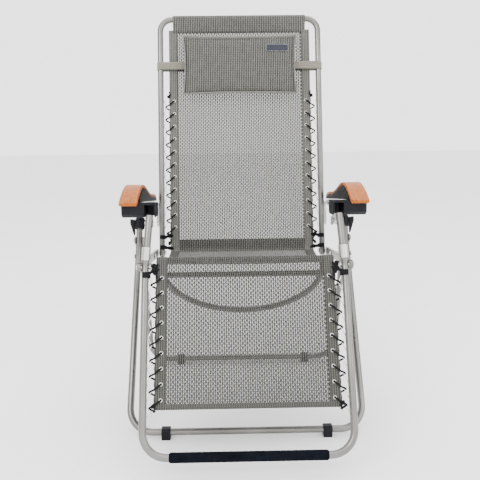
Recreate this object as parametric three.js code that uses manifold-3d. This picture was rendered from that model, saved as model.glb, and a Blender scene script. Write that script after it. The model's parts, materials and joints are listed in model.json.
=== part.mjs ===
// Zero gravity recliner: a folding steel lounge chair with a laced mesh sling.
// Units are millimetres, +Z is up, the sitter faces -Y and X runs across the chair.
// Side-view points are given as [y, z], with y = 0 at the back pivot; the whole chair is then
// moved along Y so that the origin lies under the middle of its footprint.

import * as THREE from 'three';
import { mergeVertices } from 'three/addons/utils/BufferGeometryUtils.js';
import Module from 'manifold-3d';

const wasm = await Module();
wasm.setup();

// ---------------------------------------------------------------- driving dimensions
const GAP = 0.3;                       // clearance between touching pieces
const TUBE_R = 9.5;                    // all frames are 19 mm tube
const TUBE_SIDES = 12;

const SLING_FRAME_X = 260;             // tube centre of the back and leg frames
const GROUND_FRAME_X = 321.5;          // tube centre of both ground frames
const CHAIR_SHIFT_Y = 199;             // back pivot to the middle of the footprint

const BACK_PIVOT = [0, 429];
const BACK_LEAN = THREE.MathUtils.degToRad(14.47);
const BACK_LENGTH = 770;               // pivot to top bar
const BACK_CORNER_R = 40;
const BOW_START = 50;                  // distance below the pivot where the lower bow begins
const BOW_DROP = 138;

const KNEE_PIVOT = [-389, 480];
const FOOT_BAR = [-590, 55];
const LEG_CORNER_R = 60;
const LEG_TOP_X = 251;                 // the upper ends of the leg frame lean inwards

const ARM_PIVOT_UP = 156.9;            // along the back, from the back pivot
const ARM_TUBE_SHORT = 20;             // the leg tube ends this far under the front arm pivot

const FRONT_FOOT = [-402, 18];
const FRONT_LEG_TOP = [-36, 541.8];
const REAR_FOOT = [106, 18];
const REAR_LEG_TOP = [-41, 475];
const GROUND_CORNER_R = 65;
const HUB = [-75, 487];                // pivot of the rear ground frame on the front one
const LOCK = [-42, 534];               // clamp of the recline lock
const SEAT_PIVOT = [-105.4, 443];      // pivot of the seat rails on the front ground frame

const RAIL_X = [271.8, 279.8];         // seat rail, a flat bar
const RAIL_R = 12;
const BRACKET_X = [281, 285];          // arm bracket plate
const CROSSBAR_AT = [-300, 468.2];
const CROSSBAR_DROP = 34;
const CROSSBAR_R = 8;

const SLING_HALF = 233;                // half width of the mesh
const SLING_T = 4;
const TOP_HEM_HALF = 218;              // the sleeve ends where the top bar starts to bend
const LACE_X = 216;                    // line of eyelets
const BACK_EYELETS = { first: 82, pitch: 41.5, count: 11 };
const LEG_EYELETS = { first: 29, pitch: 38.3, count: 9 };
const LEG_SLING_END = 360;
const LEG_SLING_ABOVE = 20;            // the sling goes on above the knee before it turns to the seat
const KNEE_RISE = 28;                  // height of the sling over the seat rail at the knee
const WIRE_R = 1.2;
const CORD_R = 1.6;

const PILLOW = { half: 186, low: 508, high: 708, near: 15, far: 62 };
const STRAP = { low: 599, high: 624, x: 272.6, front: 13.4, t: 2 };

const SIDES = [['left', -1], ['right', 1]];

// ---------------------------------------------------------------- colours
const look = (color, roughness, metalness = 0) =>
  new THREE.MeshStandardMaterial({ color, roughness, metalness });
const steel = () => look(0x9a9a94, 0.35, 0.9);
const blackPlastic = () => look(0x17181b, 0.55);
const mesh = () => look(0x8e8b80, 0.85);
const wood = () => look(0xb86f35, 0.5);

// ---------------------------------------------------------------- geometry helpers
const chair = new THREE.Group();
chair.position.y = CHAIR_SHIFT_Y;

function add(name, geometry, material, parent = chair) {
  const piece = new THREE.Mesh(geometry, material);
  piece.name = name;
  parent.add(piece);
  return piece;
}

// A centre line through exact sample points; the step count of the sweep matches them.
class BentPath extends THREE.Curve {
  constructor(points) {
    super();
    this.points = points;
  }
  getPoint(t, target = new THREE.Vector3()) {
    const place = t * (this.points.length - 1);
    const i = Math.min(Math.floor(place), this.points.length - 2);
    return target.lerpVectors(this.points[i], this.points[i + 1], place - i);
  }
  getPointAt(u, target) {
    return this.getPoint(u, target);
  }
  getTangentAt(u, target = new THREE.Vector3()) {
    const last = this.points.length - 1;
    const i = Math.round(u * last);
    target.set(0, 0, 0);
    for (const k of [i - 1, i]) {
      if (k >= 0 && k < last) {
        target.add(this.points[k + 1].clone().sub(this.points[k]).normalize());
      }
    }
    return target.normalize();
  }
}

// Replaces each inner corner of a polyline by an arc; radii is one number or one per corner.
function rounded(corners, radii, steps = 6) {
  const points = [corners[0]];
  for (let i = 1; i < corners.length - 1; i++) {
    const radius = Array.isArray(radii) ? radii[i - 1] : radii;
    const back = corners[i - 1].clone().sub(corners[i]).normalize();
    const on = corners[i + 1].clone().sub(corners[i]).normalize();
    const half = back.angleTo(on) / 2;
    const middle = back.clone().add(on).normalize();
    const centre = corners[i].clone().addScaledVector(middle, radius / Math.sin(half));
    const start = corners[i].clone().addScaledVector(back, radius / Math.tan(half)).sub(centre);
    const end = corners[i].clone().addScaledVector(on, radius / Math.tan(half)).sub(centre);
    const sweepAngle = start.angleTo(end);
    for (let k = 0; k <= steps; k++) {
      const t = k / steps;
      const a = Math.sin((1 - t) * sweepAngle) / Math.sin(sweepAngle);
      const b = Math.sin(t * sweepAngle) / Math.sin(sweepAngle);
      points.push(centre.clone().addScaledVector(start, a).addScaledVector(end, b));
    }
  }
  points.push(corners[corners.length - 1]);
  return points;
}

function circle(radius, sides) {
  const outline = new THREE.Shape();
  for (let i = 0; i < sides; i++) {
    const angle = (2 * Math.PI * i) / sides;
    const place = [radius * Math.cos(angle), radius * Math.sin(angle)];
    if (i === 0) outline.moveTo(...place);
    else outline.lineTo(...place);
  }
  return outline;
}

function tube(points, radius = TUBE_R, sides = TUBE_SIDES) {
  return new THREE.ExtrudeGeometry(circle(radius, sides), {
    steps: points.length - 1,
    extrudePath: new BentPath(points),
  });
}

// Extrudes a side-view outline, drawn as (y, z), across the chair from x0 to x1.
const SIDE_VIEW = new THREE.Matrix4().makeBasis(
  new THREE.Vector3(0, 1, 0), new THREE.Vector3(0, 0, 1), new THREE.Vector3(1, 0, 0));

function across(outline, x0, x1, options = {}) {
  const geometry = new THREE.ExtrudeGeometry(outline, {
    depth: Math.abs(x1 - x0), bevelEnabled: false, curveSegments: 6, ...options,
  });
  return geometry.applyMatrix4(SIDE_VIEW).translate(Math.min(x0, x1), 0, 0);
}

function pinAcross([y, z], radius, x0, x1, sides = 12) {
  const pin = new THREE.CylinderGeometry(radius, radius, Math.abs(x1 - x0), sides);
  return pin.rotateZ(Math.PI / 2).translate((x0 + x1) / 2, y, z);
}

function polygon(points) {
  const outline = new THREE.Shape();
  points.forEach(([u, v], i) => (i ? outline.lineTo(u, v) : outline.moveTo(u, v)));
  return outline;
}

function capsule([y0, z0], [y1, z1], radius) {
  const angle = Math.atan2(z1 - z0, y1 - y0);
  const outline = new THREE.Shape();
  outline.absarc(y1, z1, radius, angle - Math.PI / 2, angle + Math.PI / 2, false);
  outline.absarc(y0, z0, radius, angle + Math.PI / 2, angle + 1.5 * Math.PI, false);
  return outline;
}

function solid(geometry) {
  const bare = geometry.clone();
  bare.deleteAttribute('normal');
  bare.deleteAttribute('uv');
  const merged = mergeVertices(bare, 1e-4);
  return new wasm.Manifold(new wasm.Mesh({
    numProp: 3,
    vertProperties: new Float32Array(merged.attributes.position.array),
    triVerts: new Uint32Array(merged.index.array),
  }));
}

function shell(body) {
  const out = body.getMesh();
  const geometry = new THREE.BufferGeometry();
  geometry.setAttribute('position', new THREE.BufferAttribute(new Float32Array(out.vertProperties), 3));
  geometry.setIndex(new THREE.BufferAttribute(new Uint32Array(out.triVerts), 1));
  geometry.computeVertexNormals();
  return geometry;
}

const join = (...pieces) => shell(pieces.map(solid).reduce((all, one) => all.add(one)));

function cut(geometry, ...tools) {
  return shell(tools.map(solid).reduce((left, tool) => left.subtract(tool), solid(geometry)));
}

// ---------------------------------------------------------------- side-view directions
const backUp = [Math.sin(BACK_LEAN), Math.cos(BACK_LEAN)];
const backFront = [-backUp[1], backUp[0]];
const legLength = Math.hypot(FOOT_BAR[0] - KNEE_PIVOT[0], FOOT_BAR[1] - KNEE_PIVOT[1]);
const legDown = [
  (FOOT_BAR[0] - KNEE_PIVOT[0]) / legLength, (FOOT_BAR[1] - KNEE_PIVOT[1]) / legLength];
const legFront = [legDown[1], -legDown[0]];
const railLength = Math.hypot(KNEE_PIVOT[0] - BACK_PIVOT[0], KNEE_PIVOT[1] - BACK_PIVOT[1]);
const railFront = [
  (KNEE_PIVOT[0] - BACK_PIVOT[0]) / railLength, (KNEE_PIVOT[1] - BACK_PIVOT[1]) / railLength];

const along = (from, direction, s, normal = [0, 0], n = 0) => [
  from[0] + direction[0] * s + normal[0] * n, from[1] + direction[1] * s + normal[1] * n];
const onBack = (s, n = 0) => along(BACK_PIVOT, backUp, s, backFront, n);
const onLeg = (s, n = 0) => along(KNEE_PIVOT, legDown, s, legFront, n);
const at = (x, [y, z]) => new THREE.Vector3(x, y, z);

const armPivot = onBack(ARM_PIVOT_UP);
const armFrontPivot = along(KNEE_PIVOT, backUp, ARM_PIVOT_UP);

// A bolt across the chair with a head at each end and, where two tubes are apart, a spacer.
const BOLT_R = 3.5;
const HEAD_R = 7;
const HOLE_R = 3.9;

function bolt(side, place, x0, x1, { spacer = null, innerHead = true } = {}) {
  const parts = [pinAcross(place, BOLT_R, side * x0, side * x1)];
  if (innerHead) parts.push(pinAcross(place, HEAD_R, side * (x0 - 3.5), side * (x0 + 0.1)));
  parts.push(pinAcross(place, HEAD_R, side * (x1 - 0.1), side * (x1 + 3.5)));
  if (spacer) parts.push(pinAcross(place, HEAD_R, side * spacer[0], side * spacer[1]));
  return join(...parts);
}

const hole = (side, place, x0, x1) => pinAcross(place, HOLE_R, side * x0, side * x1);
const bothHoles = (place, x0, x1) => [hole(-1, place, x0, x1), hole(1, place, x0, x1)];

// ---------------------------------------------------------------- ground frames
function groundFrame(top, foot, holes) {
  const path = rounded([
    at(-GROUND_FRAME_X, top), at(-GROUND_FRAME_X, foot),
    at(GROUND_FRAME_X, foot), at(GROUND_FRAME_X, top)], GROUND_CORNER_R);
  return holes.length ? cut(tube(path), ...holes) : tube(path);
}

// Clip-on foot: a block with a bore for the crossbar.
const FOOT_X = 221;
const FOOT_W = 24;
function foot([y, z], side) {
  const outline = new THREE.Shape();
  const half = 13;
  outline.moveTo(y - half, 0).lineTo(y + half, 0).lineTo(y + half, z + 8);
  outline.lineTo(y + half - 5, z + half).lineTo(y - half + 5, z + half).lineTo(y - half, z + 8);
  const bore = new THREE.Path();
  bore.absarc(y, z, TUBE_R + GAP + 0.1, 0, 2 * Math.PI, true);
  outline.holes.push(bore);
  const x = side * FOOT_X;
  return across(outline, x - FOOT_W / 2, x + FOOT_W / 2, { curveSegments: 12 });
}

// Channel that carries the rear frame's end and straddles the front tube at the hub.
const HUB_PLATE_X = [308.6, 334.4];
const HUB_SLOT_X = [311.6, 331.4];
function hubBracket(side) {
  const down = [REAR_FOOT[0] - REAR_LEG_TOP[0], REAR_FOOT[1] - REAR_LEG_TOP[1]];
  const length = Math.hypot(...down);
  const axis = [down[0] / length, down[1] / length];
  const front = [axis[1], -axis[0]];
  const p = (s, q) => along(REAR_LEG_TOP, axis, s, front, q);
  const outline = polygon([
    p(46, -12.6), p(46, 11), p(20, 13), [HUB[0] - 9, HUB[1] - 8], [HUB[0] - 11.5, HUB[1] + 2],
    [HUB[0] - 4, HUB[1] + 11], [HUB[0] + 8, HUB[1] + 10], p(-4, -12.6)]);
  const block = across(outline, side * HUB_PLATE_X[0], side * HUB_PLATE_X[1]);
  const reach = 90;
  const slot = across(
    polygon([p(-reach, -9.9), p(reach, -9.9), p(reach, reach), p(-reach, reach)]),
    side * HUB_SLOT_X[0], side * HUB_SLOT_X[1]);
  return cut(block, slot, hole(side, HUB, 300, 345));
}

// Cap on the top end of the front frame; the recline clamp closes on it.
const CAP_R = 15;
function legCap(side) {
  const axis = [FRONT_LEG_TOP[0] - FRONT_FOOT[0], FRONT_LEG_TOP[1] - FRONT_FOOT[1]];
  const length = Math.hypot(...axis);
  const up = [axis[0] / length, axis[1] / length];
  const x = side * GROUND_FRAME_X;
  const rod = (from, to, radius, sides) =>
    tube([at(x, along(FRONT_LEG_TOP, up, from)), at(x, along(FRONT_LEG_TOP, up, to))], radius, sides);
  return cut(rod(-28, 7, CAP_R, 24), rod(-40, GAP, TUBE_R + GAP, TUBE_SIDES));
}

add('front_leg_frame', groundFrame(FRONT_LEG_TOP, FRONT_FOOT, [
  ...bothHoles(HUB, 300, 345), ...bothHoles(SEAT_PIVOT, 300, 345)]), steel());
add('rear_leg_frame', groundFrame(REAR_LEG_TOP, REAR_FOOT, []), steel());
for (const [name, side] of SIDES) {
  add(`front_foot_${name}`, foot(FRONT_FOOT, side), blackPlastic());
  add(`rear_foot_${name}`, foot(REAR_FOOT, side), blackPlastic());
  add(`leg_cap_${name}`, legCap(side), blackPlastic());
  add(`hub_bracket_${name}`, hubBracket(side), steel());
  add(`hub_bolt_${name}`, bolt(side, HUB, 308.2, 334.9), steel());
  add(`seat_pivot_bolt_${name}`,
    bolt(side, SEAT_PIVOT, 271.4, 331.4, { spacer: [280.2, 311.6] }), steel());
  add(`lock_disc_${name}`,
    pinAcross(LOCK, 11, side * (BRACKET_X[1] + 0.5), side * (GROUND_FRAME_X - CAP_R - 0.4)), steel());
}

// ---------------------------------------------------------------- seat rails
for (const [name, side] of SIDES) {
  const bar = across(capsule(BACK_PIVOT, KNEE_PIVOT, RAIL_R), side * RAIL_X[0], side * RAIL_X[1]);
  add(`seat_rail_${name}`, cut(bar,
    hole(side, BACK_PIVOT, 265, 285), hole(side, KNEE_PIVOT, 265, 285),
    hole(side, SEAT_PIVOT, 265, 285)), steel());
}

const barLevel = (x, drop) => new THREE.Vector3(x, CROSSBAR_AT[0], CROSSBAR_AT[1] - drop);
const barEnd = RAIL_X[0] - GAP;
add('seat_crossbar', tube(rounded([
  barLevel(-barEnd, 4), barLevel(-262, 4), barLevel(-240, CROSSBAR_DROP),
  barLevel(240, CROSSBAR_DROP), barLevel(262, 4), barLevel(barEnd, 4)], 12, 4), CROSSBAR_R, 12), steel());

// ---------------------------------------------------------------- back frame
const TUBE_BELOW_PIVOT = 14;
const backTop = onBack(BACK_LENGTH);
const backTube = tube(rounded([
  at(-SLING_FRAME_X, onBack(-TUBE_BELOW_PIVOT)), at(-SLING_FRAME_X, backTop),
  at(SLING_FRAME_X, backTop), at(SLING_FRAME_X, onBack(-TUBE_BELOW_PIVOT))], BACK_CORNER_R));
add('back_frame', cut(backTube,
  ...bothHoles(BACK_PIVOT, 240, 280), ...bothHoles(armPivot, 257, 280)), steel());

// The lower bow closes the back frame under the sagging seat.
const bowPoints = [at(-SLING_FRAME_X, onBack(-TUBE_BELOW_PIVOT - GAP))];
const BOW_STEPS = 20;
for (let i = 0; i <= BOW_STEPS; i++) {
  const angle = (Math.PI * i) / BOW_STEPS;
  const s = -BOW_START - BOW_DROP * Math.sin(angle);
  bowPoints.push(at(-SLING_FRAME_X * Math.cos(angle), onBack(s)));
}
bowPoints.push(at(SLING_FRAME_X, onBack(-TUBE_BELOW_PIVOT - GAP)));
add('back_bow', tube(bowPoints), steel());

// ---------------------------------------------------------------- leg rest frame
const legTop = along(armFrontPivot, backUp, -ARM_TUBE_SHORT);
const legTube = tube(rounded([
  at(-LEG_TOP_X, legTop), at(-SLING_FRAME_X, KNEE_PIVOT), at(-SLING_FRAME_X, FOOT_BAR),
  at(SLING_FRAME_X, FOOT_BAR), at(SLING_FRAME_X, KNEE_PIVOT), at(LEG_TOP_X, legTop)],
[60, LEG_CORNER_R, LEG_CORNER_R, 60]));
add('leg_frame', cut(legTube, ...bothHoles(KNEE_PIVOT, 240, 280)), steel());

const FOOT_SLEEVE_HALF = 194;
const FOOT_SLEEVE_R = 12.6;
add('foot_bar_sleeve', cut(
  pinAcross(FOOT_BAR, FOOT_SLEEVE_R, -FOOT_SLEEVE_HALF, FOOT_SLEEVE_HALF, 24),
  pinAcross(FOOT_BAR, TUBE_R + GAP, -FOOT_SLEEVE_HALF - 1, FOOT_SLEEVE_HALF + 1, 24)),
look(0x14171f, 0.8));

// Bright sleeves over the leg tube above the knee.
const SLEEVE_R = 11.4;
for (const [name, side] of SIDES) {
  const lean = (LEG_TOP_X - SLING_FRAME_X) / (ARM_PIVOT_UP - ARM_TUBE_SHORT);
  const place = (s) => at(side * (SLING_FRAME_X + lean * s), along(KNEE_PIVOT, backUp, s));
  const ring = (from, to, radius) => tube([place(from), place(to)], radius, 24);
  add(`knee_sleeve_${name}`, cut(ring(18, 52, SLEEVE_R), ring(8, 60, TUBE_R + GAP + 0.1)), steel());
}

// A plate on each arm pivot bolt, beside the back tube.
const STOP_PLATE_X = [270.3, 275.6];
const STOP_PLATE_LENGTH = 65;

for (const [name, side] of SIDES) {
  add(`back_pivot_bolt_${name}`, bolt(side, BACK_PIVOT, 250, 280.3), steel());
  add(`knee_pivot_bolt_${name}`, bolt(side, KNEE_PIVOT, 248.8, 280.3), steel());
  add(`arm_pivot_bolt_${name}`,
    bolt(side, armPivot, 258.5, 285.5, { innerHead: false, spacer: [275.9, 280.7] }), steel());
  add(`arm_stop_plate_${name}`, cut(
    across(capsule(onBack(ARM_PIVOT_UP - STOP_PLATE_LENGTH), armPivot, 7),
      side * STOP_PLATE_X[0], side * STOP_PLATE_X[1]),
    hole(side, armPivot, 265, 280)), steel());
}

// ---------------------------------------------------------------- armrests
// Their own frame: y runs back along the arm from the front (negative) to the arm pivot (0),
// z stands up from the line between the two arm pivots.
const ARM_LENGTH = railLength;
const armTilt = Math.atan2(railFront[1], -railFront[0]);
const arm = new THREE.Group();
arm.position.set(0, armPivot[0], armPivot[1]);
arm.rotation.x = -armTilt;
chair.add(arm);

const toArm = ([y, z]) => {
  const dy = y - armPivot[0];
  const dz = z - armPivot[1];
  return [dy * Math.cos(armTilt) - dz * Math.sin(armTilt), dy * Math.sin(armTilt) + dz * Math.cos(armTilt)];
};

// Steel bracket: a strap along the arm with a slotted sector for the lock clamp.
const SLOT_HALF = 4.5;
const SECTOR_HALF = 15;
const RECLINE_MAX = THREE.MathUtils.degToRad(38);
const slotCentre = toArm([LOCK[0] + backUp[0] * ARM_PIVOT_UP, LOCK[1] + backUp[1] * ARM_PIVOT_UP]);
const slotStart = Math.atan2(toArm(LOCK)[1] - slotCentre[1], toArm(LOCK)[0] - slotCentre[0]);

function arcBand(half, from, to) {
  const band = new THREE.Shape();
  const [u, v] = slotCentre;
  const end = (angle) => [
    u + ARM_PIVOT_UP * Math.cos(angle), v + ARM_PIVOT_UP * Math.sin(angle)];
  band.absarc(u, v, ARM_PIVOT_UP + half, from, to, false);
  band.absarc(...end(to), half, to, to + Math.PI, false);
  band.absarc(u, v, ARM_PIVOT_UP - half, to, from, true);
  band.absarc(...end(from), half, from + Math.PI, from + 2 * Math.PI, false);
  return band;
}

function armBracket(side) {
  const x = [side * BRACKET_X[0], side * BRACKET_X[1]];
  const wide = [side * (BRACKET_X[0] - 2), side * (BRACKET_X[1] + 2)];
  const from = slotStart - RECLINE_MAX;
  const strap = across(capsule([0, 0], [-286, 0], 11), ...x);
  const sector = across(arcBand(SECTOR_HALF, from, slotStart), ...x, { curveSegments: 8 });
  const slot = across(arcBand(SLOT_HALF, from, slotStart), ...wide, { curveSegments: 8 });
  return cut(join(strap, sector), slot, pinAcross([0, 0], HOLE_R, ...wide));
}

// The pad is a saddle: it rises towards the hand and falls over the front edge.
const padTop = [
  [22, 20], [12, 30], [-20, 35], [-60, 35], [-110, 36], [-160, 43], [-205, 53], [-245, 60],
  [-285, 60], [-325, 50], [-365, 32], [-402, 11]];
const PAD_T = 10;
const padCurve = new THREE.SplineCurve(padTop.map(([u, v]) => new THREE.Vector2(u, v)));
const PAD_STEPS = 24;

function padEdge(depth) {
  const edge = [];
  for (let i = 0; i <= PAD_STEPS; i++) {
    const place = padCurve.getPoint(i / PAD_STEPS);
    const slope = padCurve.getTangent(i / PAD_STEPS);
    edge.push([place.x - slope.y * depth, place.y + slope.x * depth]);
  }
  return edge;
}

const PAD_X = [279, 328];
const BASE_BOTTOM = 12.4;
function armPad(side) {
  const outline = polygon([...padEdge(0), ...padEdge(PAD_T).reverse()]);
  return across(outline, side * (PAD_X[0] + 2), side * (PAD_X[1] - 2), {
    bevelEnabled: true, bevelSize: 2, bevelThickness: 2, bevelOffset: -2, bevelSegments: 1 });
}

function armBase(side) {
  const under = padEdge(PAD_T + 0.6).filter(([u, v]) => v > BASE_BOTTOM + 1);
  const outline = polygon([
    ...under, [under[under.length - 1][0], BASE_BOTTOM], [under[0][0], BASE_BOTTOM]]);
  return across(outline, side * 277, side * 331);
}

// Front housing under the pad, with a channel that the leg tube swings into when folded.
const HOUSING_X = [236, 325];
function lockHousing(side) {
  const outline = polygon([
    [-298, 12], [-298, -16], [-308, -26], [-366, -28], [-378, -20], [-380, 12]]);
  const block = across(outline, side * HOUSING_X[0], side * HOUSING_X[1]);
  const channel = across(
    polygon([[-308, -40], [-400, -40], [-400, 5], [-308, 5]]), side * 239, side * 264);
  return cut(block, channel);
}

for (const [name, side] of SIDES) {
  add(`armrest_bracket_${name}`, armBracket(side), steel(), arm);
  add(`armrest_base_${name}`, armBase(side), blackPlastic(), arm);
  add(`armrest_pad_${name}`, armPad(side), wood(), arm);
  add(`lock_housing_${name}`, lockHousing(side), blackPlastic(), arm);
}

// ---------------------------------------------------------------- lock levers
const LEVER_T = 14;
function lockLever(side) {
  const x0 = GROUND_FRAME_X + CAP_R + 0.5;
  const outline = polygon([
    [x0, 11], [x0 + 14, 14], [x0 + 15, 2], [x0 + 5, -36], [x0 + 1.5, -38], [x0, -11]]);
  const blade = new THREE.ExtrudeGeometry(outline, { depth: LEVER_T, bevelEnabled: false });
  blade.rotateX(Math.PI / 2).translate(0, LEVER_T / 2, 0);
  if (side < 0) blade.rotateZ(Math.PI);
  return blade.translate(0, LOCK[0], LOCK[1]);
}
for (const [name, side] of SIDES) {
  add(`lock_lever_${name}`, lockLever(side), blackPlastic());
}

// ---------------------------------------------------------------- sling
function slab(place, from, to, half) {
  const t = SLING_T / 2;
  return across(polygon([place(from, -t), place(to, -t), place(to, t), place(from, t)]), -half, half);
}

const HEM_R = [TUBE_R + 0.5, TUBE_R + 2.7];
add('back_sling', slab(onBack, 16, BACK_LENGTH - 18, SLING_HALF), mesh());
add('back_top_hem', cut(
  pinAcross(backTop, HEM_R[1], -TOP_HEM_HALF, TOP_HEM_HALF, 24),
  pinAcross(backTop, HEM_R[0], -TOP_HEM_HALF - 1, TOP_HEM_HALF + 1, 24)), mesh());
add('leg_sling', slab(onLeg, -LEG_SLING_ABOVE, LEG_SLING_END, SLING_HALF), mesh());

// The seat hangs between the two: a shallow curve with its lowest point at mid seat, in three
// pieces, because its ends turn with the back and the leg rest when the chair folds.
const SEAT_SAG = 26;
const SEAT_STEPS = 8;
const SEAT_REAR = 12;
const SEAT_RUN = railLength - 26;
const BAND = 90;                       // the sling's end bands turn with the back and the leg rest
function seatProfile(from, to, offset) {
  const points = [];
  const railUp = [railFront[1], -railFront[0]];
  for (let i = 0; i <= SEAT_STEPS; i++) {
    const s = from + ((to - from) * i) / SEAT_STEPS;
    const t = (s - SEAT_REAR) / SEAT_RUN;
    const rise = 3 * (1 - t) + KNEE_RISE * t - SEAT_SAG * Math.sin(Math.PI * t);
    points.push(along(BACK_PIVOT, railFront, s, railUp, rise + offset));
  }
  return points;
}
const seatSlab = (from, to) => across(
  polygon([...seatProfile(from, to, -SLING_T / 2), ...seatProfile(from, to, SLING_T / 2).reverse()]),
  -SLING_HALF, SLING_HALF);
add('seat_rear_band', seatSlab(SEAT_REAR, SEAT_REAR + BAND), mesh());
add('seat_sling', seatSlab(SEAT_REAR + BAND + GAP, SEAT_REAR + SEAT_RUN - BAND - GAP), mesh());
add('seat_front_band', seatSlab(SEAT_REAR + SEAT_RUN - BAND, SEAT_REAR + SEAT_RUN), mesh());

// ---------------------------------------------------------------- lacing
const WIRE_OUT = SLING_FRAME_X - TUBE_R - WIRE_R - GAP;
const WIRE_IN = 241;
const CORD_N = 5;
function lacing(prefix, place, eyelets) {
  for (const [name, side] of SIDES) {
    const wire = [];
    const cord = [];
    for (let i = 0; i < eyelets.count; i++) {
      const s = eyelets.first + i * eyelets.pitch;
      wire.push(at(side * WIRE_OUT, place(s)));
      wire.push(at(side * WIRE_IN, place(s + eyelets.pitch / 2)));
      cord.push(at(side * LACE_X, place(s, CORD_N)));
      cord.push(at(side * (WIRE_IN - CORD_R - WIRE_R), place(s + eyelets.pitch / 2, CORD_N)));
    }
    add(`${prefix}_wire_${name}`, tube(wire, WIRE_R, 6), steel());
    add(`${prefix}_cord_${name}`, tube(cord, CORD_R, 6), look(0x0c0c0d, 0.8));
  }
}
lacing('back', onBack, BACK_EYELETS);
lacing('leg', onLeg, LEG_EYELETS);

// ---------------------------------------------------------------- headrest
const cushion = new THREE.Shape();
const soft = 24;
const lowest = PILLOW.low + soft;
const highest = PILLOW.high - soft;
const depth = (PILLOW.far - PILLOW.near) / 2;
const middle = PILLOW.near + depth;
for (let i = 0; i < 24; i++) {
  const angle = (2 * Math.PI * i) / 24;
  const s = (Math.sin(angle) > 0 ? highest : lowest) + soft * Math.sin(angle);
  const place = onBack(s, middle + depth * Math.cos(angle));
  if (i === 0) cushion.moveTo(...place);
  else cushion.lineTo(...place);
}
add('headrest_pillow', across(cushion, -PILLOW.half, PILLOW.half), look(0x8a8477, 0.9));

// Elastic band: one loop in front of and behind the sling, round both tubes.
const { low, high, x: bandX, front, t: bandT } = STRAP;
const bandBlock = (grow) => {
  const x = bandX + grow;
  const n = front + grow - bandT;
  const outer = polygon([onBack(low - (grow ? 0 : 1), -n), onBack(high + (grow ? 0 : 1), -n),
    onBack(high + (grow ? 0 : 1), n), onBack(low - (grow ? 0 : 1), n)]);
  return across(outer, -x, x);
};
add('headrest_strap', cut(bandBlock(bandT), bandBlock(0)), look(0x5d5a52, 0.9));

export default chair;
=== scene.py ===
# Zero gravity recliner: the looks of the model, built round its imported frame.
# Everything is in metres, in the model's own frame: +Z is up and the sitter faces -Y.
import json
import math

import bmesh
import bpy
from mathutils import Matrix, Vector
from mathutils.bvhtree import BVHTree


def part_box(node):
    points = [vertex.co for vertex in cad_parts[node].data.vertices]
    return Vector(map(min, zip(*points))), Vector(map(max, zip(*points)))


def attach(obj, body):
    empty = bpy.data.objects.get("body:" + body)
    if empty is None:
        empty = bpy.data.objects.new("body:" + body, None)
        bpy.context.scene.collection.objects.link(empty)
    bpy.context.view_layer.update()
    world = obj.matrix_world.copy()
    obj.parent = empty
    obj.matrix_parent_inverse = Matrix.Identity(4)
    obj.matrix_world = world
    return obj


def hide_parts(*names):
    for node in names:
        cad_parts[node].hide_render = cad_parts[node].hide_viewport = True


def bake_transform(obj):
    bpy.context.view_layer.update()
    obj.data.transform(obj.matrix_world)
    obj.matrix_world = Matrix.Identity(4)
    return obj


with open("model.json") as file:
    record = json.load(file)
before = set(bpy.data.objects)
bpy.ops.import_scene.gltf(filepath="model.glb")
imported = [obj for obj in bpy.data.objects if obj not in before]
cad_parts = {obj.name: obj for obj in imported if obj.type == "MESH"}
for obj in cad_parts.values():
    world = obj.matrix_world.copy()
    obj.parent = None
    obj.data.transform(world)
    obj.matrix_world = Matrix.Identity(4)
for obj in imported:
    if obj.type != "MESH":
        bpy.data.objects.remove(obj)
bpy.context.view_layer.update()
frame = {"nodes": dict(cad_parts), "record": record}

MM = 0.001
SIDES = (("left", -1), ("right", 1))

# -------------------- places from the frame
JOINTS = {j["name"]: j for j in frame["record"]["behaviour"]["joints"]}
X = Vector((1, 0, 0))


def axis_point(name):
    place = JOINTS[name]["pos_m"]
    return Vector((0, place[1], place[2]))


def middle(node):
    low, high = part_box(node)
    return (Vector(low) + Vector(high)) / 2


def mid_plane(node):
    place = middle(node)
    return Vector((0, place.y, place.z))


TUBE_R = 9.5 * MM
BACK_PIVOT = axis_point("recline")
KNEE_PIVOT = axis_point("leg_recline")
ARM_PIVOT = axis_point("arm_recline")
FOOT_BAR = mid_plane("foot_bar_sleeve")
TOP_BAR = mid_plane("back_top_hem")
BACK_UP = Vector(JOINTS["headrest_slide"]["axis"]).normalized()
BACK_FRONT = X.cross(BACK_UP)
LEG_DOWN = (FOOT_BAR - KNEE_PIVOT).normalized()
LEG_FRONT = LEG_DOWN.cross(X)
RAIL = (KNEE_PIVOT - BACK_PIVOT).normalized()
RAIL_UP = RAIL.cross(X)
RAIL_LENGTH = (KNEE_PIVOT - BACK_PIVOT).length
BACK_LENGTH = (TOP_BAR - BACK_PIVOT).length
LEG_LENGTH = (FOOT_BAR - KNEE_PIVOT).length
FRAME_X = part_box("back_frame")[1][0] - TUBE_R
GROUND_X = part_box("front_leg_frame")[1][0] - TUBE_R


def on_back(x, s, n=0.0):
    return Vector((x, 0, 0)) + BACK_PIVOT + BACK_UP * s + BACK_FRONT * n


def on_leg(x, s, n=0.0):
    return Vector((x, 0, 0)) + KNEE_PIVOT + LEG_DOWN * s + LEG_FRONT * n


def on_seat(x, s, n=0.0):
    return Vector((x, 0, 0)) + BACK_PIVOT + RAIL * s + RAIL_UP * n


# -------------------- mesh helpers
def piece(name, verts, faces, material, body, smooth=40):
    mesh = bpy.data.meshes.new(name)
    mesh.from_pydata([tuple(v) for v in verts], [], faces)
    mesh.validate()
    obj = bpy.data.objects.new(name, mesh)
    bpy.context.collection.objects.link(obj)
    return finished(obj, material, body, smooth)


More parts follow.
